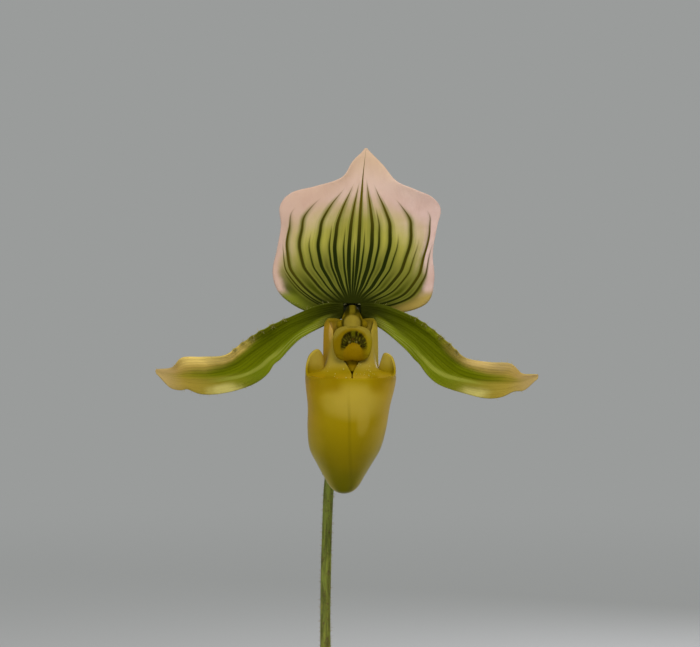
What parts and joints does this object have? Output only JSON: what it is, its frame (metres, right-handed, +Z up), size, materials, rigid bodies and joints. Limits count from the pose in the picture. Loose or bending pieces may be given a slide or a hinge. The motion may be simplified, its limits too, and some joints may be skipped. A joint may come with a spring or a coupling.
{
  "type": "potted slipper orchid",
  "caption": "Slipper orchid in flower: one bloom with a striped upper sepal and a waxy pouch on a slim stem, over a fan of mottled leaves in a plain clay pot of bark.",
  "frame": {"origin": "middle of the pot's underside, on the resting plane", "axes": "+Z up, the bloom faces -Y, the fan of leaves spreads along X"},
  "size_m": [0.2892, 0.1343, 0.346],
  "materials": {
    "clay": "matte terracotta",
    "bark": "rough, dry bark chips",
    "root": "furry root skin",
    "scape": "downy green stem",
    "bract": "downy green sheath",
    "ovary": "downy, ribbed",
    "synsepal": "satin, green veins",
    "dorsal": "satin, dark green veins on pale pink",
    "petal": "glossy dark green, warty upper rim",
    "pouch": "waxy olive yellow",
    "column": "waxy, dark green net",
    "leaf": "satin, tessellated light and dark green"
  },
  "bodies": {
    "root": {"pot": "clay", "bark": "bark", "rhizome": "root", "scape": "scape", "bract": "bract", "ovary": "ovary", "synsepal": "synsepal", "dorsal_sepal": "dorsal", "petal_left": "petal", "petal_right": "petal", "pouch": "pouch", "column": "column", "leaf_1": "leaf", "leaf_2": "leaf", "leaf_3": "leaf", "leaf_4": "leaf", "leaf_5": "leaf", "leaf_6": "leaf", "young_leaf_1": "leaf", "young_leaf_2": "leaf", "young_leaf_3": "leaf"}
  },
  "joints": []
}
